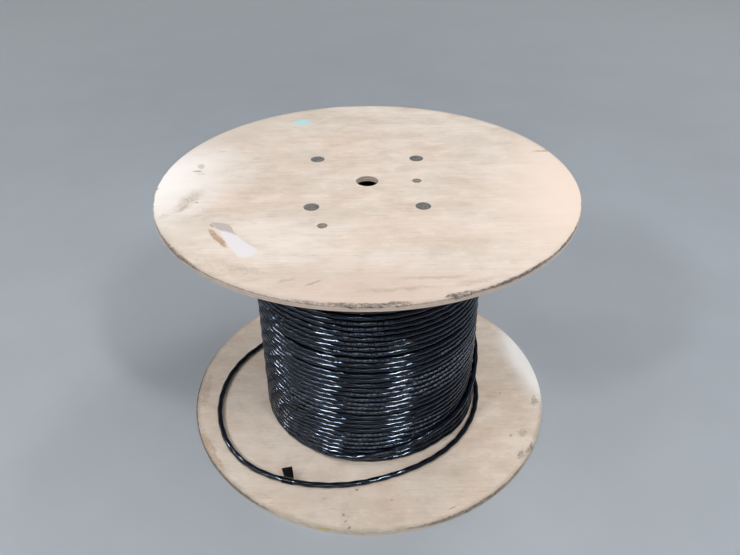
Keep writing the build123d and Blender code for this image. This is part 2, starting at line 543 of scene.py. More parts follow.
@dataclass(frozen=True)
class CableJacket:
    """Glossy black jacket that is drawn tight over three twisted conductors."""

    name: str
    body: Colour
    dust: float
    dash: Colour = paint("737988")
    dust_colour: Colour = paint("8d8a86")
    scuff_colour: Colour = paint("5c5f66")
    dash_length: float = 9.5 * MM
    row_facing: float = 0.38
    wave_length: float = 15.0 * MM
    wave_depth: float = 0.60 * MM
    roughness: Point2 = (0.10, 0.19)
    dull_patch: DashGroup = DashGroup(-125, 13, 0.205, 0.050, 0.14)
    groups: Tuple[DashGroup, ...] = (
        DashGroup(-50, 22, 0.1865, 0.0255, 1.0), DashGroup(-62, 10, 0.082, 0.018, 0.60),
        DashGroup(-46, 8, 0.238, 0.004, 0.70), DashGroup(-92, 12, 0.297, 0.042, 0.48),
        DashGroup(-91, 10, 0.163, 0.026, 0.48), DashGroup(-92, 14, 0.062, 0.020, 0.52),
        DashGroup(-124, 10, 0.140, 0.014, 0.60),
    )

    @staticmethod
    def whereabouts(sheet: ShaderSheet) -> Tuple[Socket, Socket]:
        """Return the sockets of the angle round the drum's axis and of the height."""
        x, y, z = sheet.parts(sheet.place)
        return sheet.math("ARCTAN2", y, x), z

    @staticmethod
    def skin(sheet: ShaderSheet, along: Socket, stretch: float = 1.0) -> Socket:
        """Return the place on the jacket's skin, for noise that follows it.

        Args:
            sheet: Material of the jacket.
            along: Distance along the cable, already scaled.
            stretch: Scale across the section.
        """
        x, y, _ = sheet.parts(sheet.attribute("around", vector=True))
        return sheet.combined(sheet.times(x, stretch), sheet.times(y, stretch), along)

    def dashes(self, sheet: ShaderSheet, along: Socket) -> Socket:
        """Make the faint rows of short plain dashes that show on some turns.

        Args:
            sheet: Material of the jacket.
            along: Distance along the cable.

        Returns:
            Socket of how much the dashes cover.
        """
        angle, z = self.whereabouts(sheet)
        shown: Source = 0.0
        for group in self.groups:
            shown = sheet.math("MAXIMUM", shown, group.reach(sheet, angle, z))
        row = sheet.eased(sheet.apart(sheet.parts(sheet.facing)[2], self.row_facing), 0.27, 0.10)
        beat = sheet.math("PINGPONG", sheet.divided(along, self.dash_length / 2), 1.0)
        worn = sheet.cloud(sheet.combined(0.1, 0.2, sheet.times(along, 110.0)), 1.0, 1.0)
        mark = sheet.times(sheet.eased(beat, 0.18, 0.38), sheet.eased(worn, 0.30, 0.55, 0.35, 1.0))
        return sheet.times(row, mark, shown)

    def relief(self, sheet: ShaderSheet, along: Socket, draw_lines: Socket) -> Socket:
        """Make the jacket's waves, which are calmer on some stretches, and its draw lines.

        Args:
            sheet: Material of the jacket.
            along: Distance along the cable.
            draw_lines: Noise of the fine lines along the jacket.

        Returns:
            Socket of the relief.
        """
        wave = sheet.cloud(self.skin(sheet, sheet.divided(along, self.wave_length)), 1.0, 2.0)
        calm = sheet.cloud(sheet.combined(0.5, 0.1, sheet.times(along, 0.22)), 1.0, 1.0)
        wave = sheet.times(wave, sheet.eased(calm, 0.36, 0.60, 0.45, 1.0))
        return sheet.math("MULTIPLY_ADD", draw_lines, 0.20, wave)

    def material(self) -> Material:
        """Build the material."""
        sheet = ShaderSheet(
            self.name, Specular_IOR_Level=0.40, Specular_Tint=(0.56, 0.74, 1.0, 1.0), Coat_Weight=0.18,
            Coat_Roughness=0.06, Coat_Tint=(0.90, 0.95, 1.0, 1.0),
        )
        along = sheet.attribute("along")
        draw_lines = sheet.cloud(self.skin(sheet, sheet.times(along, 22.0), 2.2), 1.0, 3.0, 0.6)
        grime = sheet.cloud(sheet.place, 34.0, 5.0, 0.7)
        up = sheet.eased(sheet.parts(sheet.facing)[2], 0.1, 1.0)
        dusty = sheet.times(up, self.dust, sheet.eased(grime, 0.35, 0.75))
        colour = sheet.blended(dusty, self.body, self.dust_colour)
        scuffs = sheet.cloud(self.skin(sheet, sheet.times(along, 9.0)), 1.6, 4.0, 0.7)
        scuffs = sheet.eased(scuffs, 0.62, 0.80, 0.0, 0.08)
        colour = sheet.blended(scuffs, colour, self.scuff_colour)
        colour = sheet.blended(self.dashes(sheet, along), colour, self.dash)
        dull = self.dull_patch.reach(sheet, *self.whereabouts(sheet))
        clean = sheet.eased(draw_lines, 0.3, 0.7, *self.roughness)
        rough = sheet.plus(clean, sheet.times(dusty, 2.0), scuffs, dull)
        return sheet.finish(colour, rough, self.relief(sheet, along, draw_lines), self.wave_depth)


@dataclass(frozen=True)
class PlainFinish:
    """Finish with one colour that is clouded, worn and slightly rough."""

    name: str
    colour: Colour
    worn: Colour
    grain: float
    roughness: Point2
    depth: float
    stretch: float = 1.0
    metal: float = 0.0
    specular: float = 0.5

    def material(self) -> Material:
        """Build the material."""
        sheet = ShaderSheet(self.name, Metallic=self.metal, Specular_IOR_Level=self.specular)
        grain = (self.grain, self.grain, self.grain * self.stretch)
        fine = sheet.cloud(sheet.stretched(grain), 1.0, 4.0, 0.6)
        coarse = sheet.cloud(sheet.place, 55.0, 4.0, 0.65)
        colour = sheet.blended(sheet.eased(coarse, 0.35, 0.70), self.colour, self.worn)
        colour = sheet.blended(sheet.eased(fine, 0.55, 0.75, 0.0, 0.35), colour, self.worn)
        return sheet.finish(colour, sheet.eased(coarse, 0.3, 0.7, *self.roughness), fine, self.depth)


class GeometrySheet(NodeSheet):
    """Geometry tree with named inputs for its sizes, run once and turned into a plain mesh."""

    def __init__(self, name: str) -> None:
        """Start a tree with a geometry socket at each end."""
        super().__init__(bpy.data.node_groups.new(name, "GeometryNodeTree"))
        self.tree.interface.new_socket("Geometry", in_out="INPUT", socket_type="NodeSocketGeometry")
        self.tree.interface.new_socket("Geometry", in_out="OUTPUT", socket_type="NodeSocketGeometry")
        self.way_in = self.add("NodeGroupInput")
        self.sizes: Dict[str, str] = {}

    def size(self, name: str) -> Socket:
        """Add a named input and return the socket that gives its value inside the tree."""
        socket = self.tree.interface.new_socket(name, in_out="INPUT", socket_type="NodeSocketFloat")
        self.sizes[name] = socket.identifier
        return self.way_in.outputs[name]

    def close(self, geometry: Socket, material: Material) -> None:
        """End the tree with realized instances, smooth faces and a material."""
        real = self.add("GeometryNodeRealizeInstances", {0: geometry})
        smooth = self.add("GeometryNodeSetShadeSmooth", {"Geometry": real.outputs[0]})
        painted = self.add("GeometryNodeSetMaterial", {"Geometry": smooth.outputs[0], "Material": material})
        self.add("NodeGroupOutput", {0: painted.outputs[0]})

    def grow(self, name: str, values: Dict[str, float], base: Optional[bpy.types.Mesh] = None) -> Piece:
        """Run the tree and keep its result as a plain mesh.

        Args:
            name: Name of the finished piece.
            values: Value of each named input.
            base: Mesh that the tree starts from.

        Returns:
            The finished piece.
        """
        seed = bpy.data.objects.new(name + "_seed", base or bpy.data.meshes.new(name + "_seed"))
        bpy.context.scene.collection.objects.link(seed)
        modifier = seed.modifiers.new("grow", "NODES")
        modifier.node_group = self.tree
        for size_name, value in values.items():
            modifier[self.sizes[size_name]] = value
        graph = bpy.context.evaluated_depsgraph_get()
        grown = seed.evaluated_get(graph)
        mesh = bpy.data.meshes.new_from_object(grown, preserve_all_data_layers=True, depsgraph=graph)
        seed.modifiers.remove(modifier)
        bpy.data.objects.remove(seed)
        return placed(name, mesh)


def placed(name: str, mesh: bpy.types.Mesh, *materials: Material) -> Piece:
    """Put a finished mesh in the scene.

    Args:
        name: Name of the piece.
        mesh: Its mesh, in the frame's own coordinates.
        materials: Materials to add to the mesh.

    Returns:
        The piece.
    """
    mesh.name = name
    for material in materials:
        mesh.materials.append(material)
    piece = bpy.data.objects.new(name, mesh)
    bpy.context.scene.collection.objects.link(piece)
    return piece


def meshed(name: str, form: bmesh.types.BMesh, *materials: Material, smooth: bool = False) -> Piece:
    """Turn a worked form into a finished piece.

    Args:
        name: Name of the piece.
        form: Its faces, which are freed.
        materials: Materials of the piece.
        smooth: Whether its faces are shaded smooth.

    Returns:
        The piece.
    """
    for face in form.faces:
        face.smooth = smooth
    mesh = bpy.data.meshes.new(name)
    form.to_mesh(mesh)
    form.free()
    return placed(name, mesh, *materials)


def seated(piece: Piece, slot: Optional[Slot], *nodes: str) -> Piece:
    """Let a piece ride on the drum and let it stand for nodes.

    Args:
        piece: The finished piece.
        slot: Its material slot in the record, if it has one; not used.
        nodes: Nodes of the frame that it stands for.

    Returns:
        The same piece.
    """
    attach(piece, BODY)
    if nodes:
        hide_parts(*nodes)
    faces = len(piece.data.polygons)
    LOG.info("%s: %d faces, stands for %s", piece.name, faces, ", ".join(nodes) or "nothing")
    return piece


@dataclass(frozen=True)
class TwistedCable:
    """Section of the cable: a jacket that shows three twisted conductors as long lobes."""

    radius: float = 5.2 * MM
    lobe: float = 0.070
    lobes: int = 3
    lay: float = 102.0 * MM

    def profile(self, sheet: GeometrySheet, points: int) -> Socket:
        """Draw the section as a closed curve and return its socket."""
        circle = sheet.add("GeometryNodeCurvePrimitiveCircle", {"Resolution": points, "Radius": 1.0})
        place = sheet.add("GeometryNodeInputPosition").outputs[0]
        x, y, _ = sheet.parts(place)
        swell = sheet.math("COSINE", sheet.times(sheet.math("ARCTAN2", y, x), float(self.lobes)))
        swell = sheet.math("MULTIPLY_ADD", swell, self.lobe, 1.0 - self.lobe)
        lobed = sheet.scaled(place, sheet.times(swell, self.radius))
        inputs = {"Geometry": circle.outputs[0], "Name": "around", "Value": place}
        named = sheet.add("GeometryNodeStoreNamedAttribute", inputs, data_type="FLOAT_VECTOR")
        shaped = sheet.add("GeometryNodeSetPosition", {"Geometry": named.outputs[0], "Position": lobed})
        return shaped.outputs[0]

    def sheathe(self, sheet: GeometrySheet, curve: Socket, points: int, phase: Source) -> Socket:
        """Give a curve its twisted jacket.

        Args:
            sheet: Tree that holds the curve.
            curve: Socket of the curve.
            points: Points round the section.
            phase: Turn of the section at the curve's start, in radians.

        Returns:
            Socket of the jacket's mesh.
        """
        run = sheet.add("GeometryNodeSplineParameter").outputs["Length"]
        upright = sheet.add("GeometryNodeSetCurveNormal", {"Curve": curve}, mode="Z_UP")
        twist = sheet.math("MULTIPLY_ADD", run, 2 * math.pi / self.lay, phase)
        tilted = sheet.add("GeometryNodeSetCurveTilt", {"Curve": upright.outputs[0], "Tilt": twist})
        inputs = {"Geometry": tilted.outputs[0], "Name": "along", "Value": run}
        measured = sheet.add("GeometryNodeStoreNamedAttribute", inputs, data_type="FLOAT")
        sized = sheet.add("GeometryNodeSetCurveRadius", {"Curve": measured.outputs[0], "Radius": 1.0})
        inputs = {"Curve": sized.outputs[0], "Profile Curve": self.profile(sheet, points), "Fill Caps": True}
        return sheet.add("GeometryNodeCurveToMesh", inputs).outputs[0]


@dataclass
class CableWinding:
    """The wound cable: its outermost turns one by one, the layer beneath them, and the rest as a core.

    Sizes named hidden_ are those of the layer beneath. It starts hidden_start turns on and is hidden_short
    turns shorter. Each point of crossing_route is an azimuth in degrees, a height above the lower flange and
    how far the cable stands proud of the other turns, both in millimetres.
    """

    cable: TwistedCable
    jacket: Material
    bore: float
    bottom: float
    top: float
    turns: int = 42
    outer_radius: float = 206.86 * MM
    swell: float = 3.0 * MM
    layer_step: float = 8.811 * MM
    start_azimuth: float = 78.0
    tight_pitch: float = 10.72 * MM
    gaps: Tuple[Tuple[int, float], ...] = (
        (5, 1.4), (10, 1.2), (14, 0.6), (19, 2.2), (22, 3.4), (30, 1.6), (33, 0.6), (36, 1.6),
    )
    drift: float = 9.0 * MM
    jitter: float = 1.6 * MM
    proud: float = 2.2 * MM
    held_turns: float = 2.5
    slack: float = 5.5 * MM
    slack_azimuth: float = -20.0
    slack_cosines: Point2 = (0.86, 0.985)
    slack_levels: Point2 = (5.5, 0.5)
    crossover: float = 0.20
    bands: int = 3
    outer_steps: int = 360
    outer_points: int = 12
    hidden_steps: int = 150
    hidden_points: int = 8
    hidden_start: float = 0.5
    hidden_short: float = 1.7
    inner_layers: int = 5
    valley: float = 3.0 * MM
    ridge_share: float = 0.80
    ridge_steps: int = 10
    ring_steps: int = 96
    crossing_route: Tuple[Point, ...] = (
        (84, 214, 0.0), (72, 208, 0.4), (60, 196, 5.4), (48, 181, 9.4), (34, 162, 10.4), (20, 140, 11.4),
        (8, 121, 12.4), (-2, 106, 12.9), (-12, 89, 12.9), (-22, 68, 12.4), (-32, 56, 11.9), (-42, 51, 11.4),
        (-52, 50, 11.4), (-62, 46, 11.4), (-72, 39, 11.4), (-84, 29, 12.4), (-96, 19, 12.4),
        (-108, 12.5, 10.4), (-120, 7.5, 5.0), (-132, 5.6, 3.0),
    )

    def height(self, sheet: GeometrySheet, level: Socket) -> Socket:
        """Work out how high a turn lies.

        Args:
            sheet: Tree of the turns.
            level: Number of turns up to this point.

        Returns:
            Socket of the height, with the wider gaps between some turns in it.
        """
        low = sheet.size("Lowest middle")
        height = sheet.math("MULTIPLY_ADD", level, sheet.size("Tight pitch"), low)
        for after, width in self.gaps:
            height = sheet.plus(height, sheet.eased(level, float(after), after + 1.0, 0.0, width * MM))
        return height

    def helix(self, sheet: GeometrySheet, steps: int) -> Socket:
        """Lay a curve round the drum, turn by turn, and return its socket.

        Args:
            sheet: Tree that holds the curve.
            steps: Points in each turn.

        Returns:
            Socket of the curve.
        """
        points = sheet.math("MULTIPLY_ADD", sheet.size("Turns"), float(steps), 1.0)
        line = sheet.add("GeometryNodeCurvePrimitiveLine").outputs[0]
        fine = sheet.add("GeometryNodeResampleCurve", {"Curve": line, "Count": points})
        index = sheet.add("GeometryNodeInputIndex").outputs[0]
        turn = sheet.plus(sheet.size("First turn"), sheet.divided(index, float(steps)))
        angle = sheet.math("MULTIPLY_ADD", turn, 2 * math.pi, math.radians(self.start_azimuth))
        cosine, sine = sheet.math("COSINE", angle), sheet.math("SINE", angle)
        whole = sheet.math("FLOOR", turn)
        step_up = sheet.eased(sheet.minus(turn, whole), 1.0 - self.crossover, 1.0)
        level = sheet.plus(whole, step_up)
        top_level = float(self.turns - 1)
        free = sheet.times(
            sheet.eased(level, 0.0, self.held_turns),
            sheet.eased(level, top_level, top_level - self.held_turns),
        )

        def wander(first: Socket, second: Socket, change: float, scale: float, detail: float) -> Socket:
            """Return the socket of noise about zero that changes from turn to turn."""
            place = sheet.combined(first, second, sheet.times(level, change))
            return sheet.minus(sheet.cloud(place, scale, detail), 0.5)

        jitter = sheet.times(wander(cosine, sine, 1.7, 1.6, 1.0), self.jitter)
        move = sheet.math("MULTIPLY_ADD", wander(cosine, sine, 0.16, 1.15, 2.0), self.drift, jitter)
        height = sheet.plus(self.height(sheet, level), sheet.times(move, free, sheet.size("Unevenness")))
        off_slack = sheet.minus(angle, math.radians(self.slack_azimuth))
        slack = sheet.times(
            sheet.eased(sheet.math("COSINE", off_slack), *self.slack_cosines),
            sheet.eased(level, *self.slack_levels, 0.0, self.slack),
        )
        swell = sheet.math("MULTIPLY_ADD", level, -self.swell / top_level, self.swell)
        proud = sheet.times(wander(sine, cosine, 1.3, 1.9, 1.0), self.proud, free)
        out = sheet.plus(sheet.size("Middle radius"), sheet.plus(swell, slack), proud)
        place = sheet.combined(sheet.times(cosine, out), sheet.times(sine, out), height)
        inputs = {"Geometry": fine.outputs[0], "Position": place}
        return sheet.add("GeometryNodeSetPosition", inputs).outputs[0]

    def turns_tree(self, name: str, steps: int, points: int) -> GeometrySheet:
        """Make the tree that lays turns of cable.

        Args:
            name: Name of the tree.
            steps: Points in each turn.
            points: Points round the section.

        Returns:
            The tree.
        """
        sheet = GeometrySheet(name)
        curve = self.helix(sheet, steps)
        phase = sheet.size("Twist at start")
        sheet.close(self.cable.sheathe(sheet, curve, points, phase), self.jacket)
        return sheet

    def lay_turns(self) -> List[Piece]:
        """Lay the outermost layer in bands, and the layer beneath it."""
        middle = self.outer_radius - self.cable.radius
        twist = 2 * math.pi / self.cable.lay
        laid = self.turns - 1 + (1.0 - self.crossover)
        share = round(laid / self.bands)
        values = {
            "Lowest middle": self.bottom + self.cable.radius, "Tight pitch": self.tight_pitch,
            "Unevenness": 1.0, "Middle radius": middle,
        }
        outer = self.turns_tree("outer turns", self.outer_steps, self.outer_points)
        pieces = []
        for band in range(self.bands):
            first = band * share
            values["First turn"] = float(first)
            values["Turns"] = share if band < self.bands - 1 else laid - first
            values["Twist at start"] = first * 2 * math.pi * (middle + self.swell) * twist
            pieces.append(outer.grow(f"cable_turns_{band + 1}", values))
        beneath = self.turns_tree("turns beneath", self.hidden_steps, self.hidden_points)
        values.update({
            "First turn": self.hidden_start, "Turns": self.turns - self.hidden_short,
            "Middle radius": middle - self.layer_step, "Twist at start": 0.0,
        })
        pieces.append(beneath.grow("cable_turns_beneath", values))
        return pieces

    def inner_outline(self) -> List[Point2]:
        """List the radius and height of the hidden inner layers' section, with round ridges on both ends."""
        first = self.bore + self.cable.radius
        outermost = self.outer_radius - self.cable.radius - self.layer_step
        reach = self.cable.radius * self.ridge_share
        outline: List[Point2] = []
        for end, inward in ((self.bottom, 1), (self.top, -1)):
            ridge = [(self.bore, end + inward * self.valley)]
            for layer, step in product(range(self.inner_layers), range(self.ridge_steps + 1)):
                angle = math.pi * step / self.ridge_steps
                radius = first + layer * self.layer_step - reach * math.cos(angle)
                if ridge[-1][0] + 0.05 * MM < radius <= outermost:
                    ridge.append((radius, end + inward * self.valley * (1 - math.sin(angle))))
            outline += ridge if inward == 1 else ridge[::-1]
        return outline

    def core(self) -> Piece:
        """Turn the hidden inner layers as one ring whose ends show their turns."""
        ring = bmesh.new()
        corners = [ring.verts.new((radius, 0.0, height)) for radius, height in self.inner_outline()]
        edges = [ring.edges.new(pair) for pair in zip(corners, corners[1:] + corners[:1])]
        bmesh.ops.spin(ring, geom=corners + edges, axis=(0, 0, 1), cent=(0, 0, 0), steps=self.ring_steps,
                       angle=2 * math.pi, use_merge=True)
        bmesh.ops.remove_doubles(ring, verts=ring.verts, dist=0.01 * MM)
        bmesh.ops.recalc_face_normals(ring, faces=ring.faces)
        return meshed("cable_inner_layers", ring, self.jacket, smooth=True)

    def crossing(self) -> Piece:
        """Lay the last turn where it crosses the others on its way down to the lower flange."""
        rest = self.outer_radius - self.cable.radius
        points = [
            around_axis(rest + proud * MM, azimuth, self.bottom + height * MM)
            for azimuth, height, proud in self.crossing_route
        ]
        return strand("crossing_turn", points, self.cable, self.jacket, 0.0)[0]

    def build(self) -> None:
        """Make the winding and let it stand for the wound solid."""
        for piece in [*self.lay_turns(), self.core(), self.crossing()]:
            seated(piece, Slot.JACKET, "cable_winding")


def spline_points(name: str, route: Sequence[Vector]) -> List[Vector]:
    """Read the points of a smooth open spline through a route.

    Args:
        name: Name of the curve.
        route: Control points.

    Returns:
        Points along the spline.
    """
    data = bpy.data.curves.new(name, "CURVE")
    data.dimensions = "3D"
    data.resolution_u = 16
    spline = data.splines.new("NURBS")
    spline.points.add(len(route) - 1)
    for point, place in zip(spline.points, route):
        point.co = (*place, 1.0)
    spline.order_u = 3
    spline.use_endpoint_u = True
    holder = bpy.data.objects.new(name, data)
    bpy.context.scene.collection.objects.link(holder)
    graph = bpy.context.evaluated_depsgraph_get()
    line = bpy.data.meshes.new_from_object(holder.evaluated_get(graph), depsgraph=graph)
    points = [vertex.co.copy() for vertex in line.vertices]
    bpy.data.objects.remove(holder)
    bpy.data.meshes.remove(line)
    return points


STRAND_SPACING = 3.0 * MM
STRAND_POINTS = 16


def strand(name: str, route: Sequence[Vector], cable: TwistedCable, jacket: Material,
           phase: float) -> Tuple[Piece, List[Vector]]:
    """Lay one piece of cable along a route.

    Args:
        name: Name of the piece.
        route: Control points of its line.
        cable: Section of the cable.
        jacket: Its material.
        phase: Turn of the section at the start, in radians.

    Returns:
        The piece, and the points that it follows.
    """
    points = spline_points(name + "_line", route)
    line = bpy.data.meshes.new(name + "_line")
    line.from_pydata(points, [(i, i + 1) for i in range(len(points) - 1)], [])
    sheet = GeometrySheet(name + " jacket")
    spacing = sheet.size("Spacing")
    turn = sheet.size("Twist at start")
    curve = sheet.add("GeometryNodeMeshToCurve", {0: sheet.way_in.outputs["Geometry"]})
    inputs = {"Curve": curve.outputs[0], "Length": spacing}
    fine = sheet.add("GeometryNodeResampleCurve", inputs, mode="LENGTH")
    sheet.close(cable.sheathe(sheet, fine.outputs[0], STRAND_POINTS, turn), jacket)
    piece = sheet.grow(name, {"Spacing": STRAND_SPACING, "Twist at start": phase}, line)
    return piece, points


@dataclass
class LooseEnd:
    """The cable's outer end, which lies in a wide loop on the lower flange, with its tape flag.

    insulation_end and copper_end are a radius and half a length each.
    """

    cable: TwistedCable
    jacket: Material
    tape: Material
    copper: Material
    insulation: Tuple[Material, ...]
    height: float = 15.0 * MM
    flag_run: int = 12
    flag_lean: float = 25.0
    curl: float = 1.3 * MM
    ripple: float = 0.4 * MM
    half_gap: float = 0.28 * MM
    tape_thickness: float = 0.22 * MM
    conductor_place: float = 2.15 * MM
    insulation_end: Point2 = (1.75 * MM, 0.35 * MM)
    copper_end: Point2 = (0.95 * MM, 0.60 * MM)
    wrap_ends: Point2 = (-8.7 * MM, 10.8 * MM)
    wrap_gap: float = 0.35 * MM
    wrap_degrees: Point2 = (8.0, 352.0)
    flag_foot: Tuple[Point2, Point2] = ((-6.0 * MM, 6.4 * MM), (13.0 * MM, 5.6 * MM))
    flag_tip: Tuple[Point2, Point2] = ((-12.3 * MM, 20.6 * MM), (6.8 * MM, 28.6 * MM))
    route: Tuple[Point2, ...] = (
        (42.6, 200.2), (118.9, 184.0), (170.5, 140.5), (206.5, 83.5), (222.5, 19.5), (220.5, -45.0),
        (202.5, -105.5), (167.0, -161.5), (118.5, -205.0), (61.0, -235.5), (0.0, -256.0),
        (-54.5, -264.5), (-116.5, -261.0), (-178.0, -243.5), (-230.0, -213.5), (-271.0, -164.5),
        (-296.5, -101.0), (-304.5, -37.0), (-296.0, 26.5), (-273.0, 81.0), (-238.5, 125.5),
        (-196.5, 167.0), (-147.5, 203.0), (-93.0, 229.0), (-35.0, 243.0), (12.0, 248.0),
    )

    def build(self) -> None:
        corners = self.corners()
        tail, line = strand("cable_tail_end", corners, self.cable, self.jacket, math.pi)
        seated(tail, Slot.JACKET, "cable_tail")
        tape = seated(self.tape_flag(line), Slot.TAPE, "tape_flag")
        cut = seated(self.cut_face(line), None)

    def corners(self) -> List[Vector]:
        """Give the control points of the cable's line."""
        return [Vector((x * MM, y * MM, self.height)) for x, y in self.route]

    def tape_flag(self, line: Sequence[Vector]) -> Piece:
        """Wrap tape once round the cable and let its slanted end stand up as a small flag.

        Args:
            line: Points that the cable follows.

        Returns:
            The tape.
        """
        corners = self.corners()
        aim = (corners[self.flag_run] + corners[self.flag_run + 1]) / 2
        nearest = min(range(1, len(line) - 1), key=lambda i: (line[i] - aim).length)
        middle = line[nearest]
        along = (line[nearest - 1] - line[nearest + 1]).normalized()
        up = Vector((0, 0, 1))
        lean = math.radians(self.flag_lean)
        stand = up * math.cos(lean) + up.cross(along) * math.sin(lean)
        front = stand.cross(along) * -1
        wrap = self.cable.radius + self.wrap_gap
        across, rise, round_steps = 12, 10, 28
        shell = bmesh.new()

        def flag_row(level: float, side: float) -> List[bmesh.types.BMVert]:
            """Lay one row of points across the flag, at a level from foot to tip."""
            row = []
            for step in range(across + 1):
                share = step / across
                foot = [a + (b - a) * share for a, b in zip(*self.flag_foot)]
                tip = [a + (b - a) * share for a, b in zip(*self.flag_tip)]
                run, tall = (f + (t - f) * level for f, t in zip(foot, tip))
                curl = self.curl * level * level * math.cos((share - 0.5) * 3.0)
                curl += self.ripple * level * math.sin(share * 9.0)
                row.append(shell.verts.new(middle + along * run + stand * tall + front * (side - curl)))
            return row

        def wrap_row(step: int) -> List[bmesh.types.BMVert]:
            """Lay one row of points along the wrap, at a step round the cable."""
            first, last = self.wrap_degrees
            angle = math.radians(first + (last - first) * step / round_steps)
            reach = stand * (wrap * math.cos(angle)) + front * (wrap * math.sin(angle))
            start, end = self.wrap_ends
            row = []
            for cell in range(across + 1):
                place = middle + along * (start + (end - start) * cell / across) + reach
                place.z = max(place.z, self.height - self.cable.radius - 0.2 * MM)
                row.append(shell.verts.new(place))
            return row

        grid = [flag_row(1 - step / rise, self.half_gap) for step in range(rise + 1)]
        grid += [wrap_row(step) for step in range(1, round_steps)]
        grid += [flag_row(step / rise, -self.half_gap) for step in range(rise + 1)]
        for row, following in zip(grid, grid[1:]):
            for i in range(across):
                shell.faces.new((row[i], row[i + 1], following[i + 1], following[i]))
        bmesh.ops.recalc_face_normals(shell, faces=shell.faces)
        bmesh.ops.solidify(shell, geom=shell.faces[:], thickness=self.tape_thickness)
        bmesh.ops.recalc_face_normals(shell, faces=shell.faces)
        return meshed("tape_wrap_and_flag", shell, self.tape, smooth=True)

    def cut_face(self, line: Sequence[Vector]) -> Piece:
        """Show the three conductors on the cable's cut end.

        Args:
            line: Points that the cable follows.

        Returns:
            The ends of the conductors.
        """
        along = (line[-1] - line[-2]).normalized()
        square_on = Matrix.Translation(line[-1]) @ along.to_track_quat("Z", "Y").to_matrix().to_4x4()
        ends = bmesh.new()
        for index in range(self.cable.lobes):
            angle = 2 * math.pi * index / self.cable.lobes + 0.4
            middle = Matrix.Translation(around_axis(self.conductor_place, math.degrees(angle), 0))
            for (radius, reach), slot_number in ((self.insulation_end, index + 1), (self.copper_end, 0)):
                before = set(ends.faces)
                bmesh.ops.create_cone(ends, cap_ends=True, segments=20, radius1=radius,
                                      radius2=radius * 0.96, depth=2 * reach, matrix=square_on @ middle)
                for face in set(ends.faces) - before:
                    face.material_index = slot_number
        return meshed("conductor_ends", ends, self.copper, *self.insulation)


@dataclass(frozen=True)
class CreasedPaper:
    """White label paper whose lifted end, past a crease, lies in its own shade."""

    name: str
    sheet_colour: Colour
    lifted_colour: Colour
    crease: Point2
    across: Point2
    pulp_colour: Colour = paint("d9d2d2")
    soft: float = 3.0 * MM

    def material(self) -> Material:
        """Build the material."""
        sheet = ShaderSheet(self.name, Specular_IOR_Level=0.4)
        from_crease = sheet.vector_math("SUBTRACT", sheet.place, (*self.crease, 0.0))
        ahead = sheet.vector_math("DOT_PRODUCT", from_crease, (*self.across, 0.0))
        waver = sheet.math("MULTIPLY_ADD", sheet.cloud(sheet.place, 90.0, 2.0), 5.0 * MM, -2.5 * MM)
        past = sheet.eased(sheet.plus(ahead, waver), -self.soft, self.soft)
        pulp = sheet.cloud(sheet.place, 420.0, 3.0, 0.6)
        colour = sheet.blended(sheet.eased(pulp, 0.35, 0.70, 0.0, 0.25), self.sheet_colour, self.pulp_colour)
        colour = sheet.blended(past, colour, self.lifted_colour)
        return sheet.finish(colour, 0.8, pulp, 0.04 * MM)


@dataclass
class TornLabel:
    """Blank paper label on the upper flange, torn down to a strip."""

    paper: Material
    face: float
    thickness: float = 0.10 * MM
    step: float = 2.5 * MM
    tear: float = 1.6 * MM
    fray: float = 0.6 * MM
    outline: Tuple[Point2, ...] = (
        (-242, -136), (-235, -147), (-226, -162), (-217, -178.5), (-208, -196), (-195.5, -219),
        (-184, -236.5), (-175, -237), (-165.5, -233.5), (-161, -226), (-157, -221.5), (-172.5, -204),
        (-186.5, -189.5), (-202, -165.5), (-210, -147), (-220.5, -139.5), (-232, -137),
    )

    def build(self) -> None:
        """Make the label with a ragged torn edge."""
        border: List[Vector] = []
        corners = [Vector((x * MM, y * MM, 0)) for x, y in self.outline]
        for corner, following in zip(corners, corners[1:] + corners[:1]):
            parts = max(2, round((following - corner).length / self.step))
            side = (following - corner).normalized().cross(Vector((0, 0, 1)))
            for step in range(parts):
                place = corner.lerp(following, step / parts)
                shake = noise.noise(place * 260) * self.tear + noise.noise(place * 900) * self.fray
                border.append(place + side * shake)
        sheet = bmesh.new()
        verts = [sheet.verts.new((place.x, place.y, self.face)) for place in border]
        bottom = sheet.faces.new(verts)
        grown = bmesh.ops.extrude_face_region(sheet, geom=[bottom])
        lifted = [item for item in grown["geom"] if isinstance(item, bmesh.types.BMVert)]
        bmesh.ops.translate(sheet, verts=lifted, vec=(0, 0, self.thickness))
        bmesh.ops.recalc_face_normals(sheet, faces=sheet.faces)
        bmesh.ops.triangulate(sheet, faces=sheet.faces[:])
        seated(meshed("torn_label", sheet, self.paper), None)


